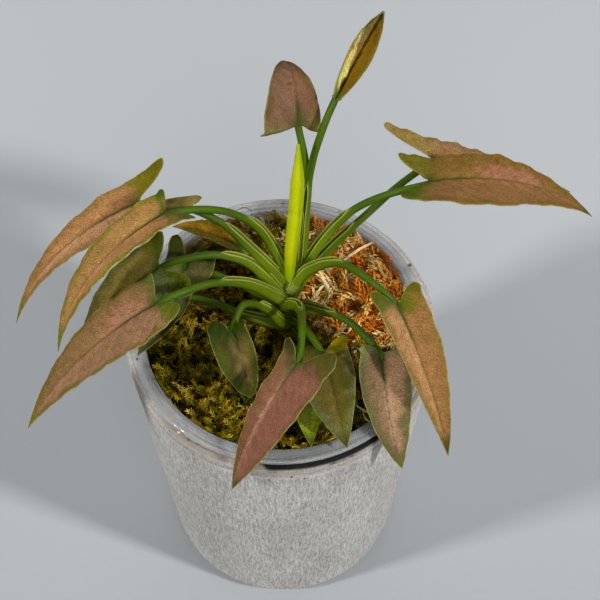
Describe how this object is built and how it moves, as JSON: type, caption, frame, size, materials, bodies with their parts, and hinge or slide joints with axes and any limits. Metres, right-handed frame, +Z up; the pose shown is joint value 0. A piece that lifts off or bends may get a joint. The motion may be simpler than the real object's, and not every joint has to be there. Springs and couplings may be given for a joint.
{
  "type": "potted syngonium",
  "caption": "Small arrow-leaved foliage plant with pink-brown blades on arching stalks, in moss in a clear cup that hangs in a tapered concrete-look pot.",
  "frame": {"origin": "centre of the pot's underside, on the surface it stands on", "axes": "+Z up along the pot's axis, +X to the plant's right, -Y to its front"},
  "size_m": [0.1576, 0.0974, 0.2062],
  "materials": {
    "concrete": "light grey concrete look, matt, finely mottled",
    "clear_plastic": "thin clear plastic, glossy rim",
    "dried_sphagnum": "orange-brown dried moss fibres",
    "green_moss": "living moss, dark gaps between strands",
    "petiole": "fresh green, slightly glossy",
    "new_leaf": "lime green rolled leaf",
    "blade_pink_brown": "dusty pink-brown leaf with olive margins and fine veins",
    "blade_olive_pink": "olive leaf with a pink centre and fine veins",
    "blade_green": "green leaf with darker veins"
  },
  "bodies": {
    "root": {"blade_arrow_back": "blade_pink_brown", "blade_back_left": "blade_olive_pink", "blade_front": "blade_pink_brown", "blade_front_inner": "blade_olive_pink", "blade_front_right": "blade_olive_pink", "blade_front_small": "blade_green", "blade_left_dark": "blade_green", "blade_left_inner": "blade_olive_pink", "blade_left_low": "blade_pink_brown", "blade_left_middle": "blade_olive_pink", "blade_left_small": "blade_green", "blade_left_top": "blade_pink_brown", "blade_left_upper": "blade_pink_brown", "blade_right_front": "blade_pink_brown", "blade_right_rear": "blade_olive_pink", "blade_right_upper": "blade_pink_brown", "blade_upright_back": "blade_pink_brown", "clear_cup": "clear_plastic", "cover_pot": "concrete", "dry_sphagnum": "dried_sphagnum", "green_moss": "green_moss", "rolled_new_leaf": "new_leaf", "stem_with_petioles": "petiole"}
  },
  "joints": []
}
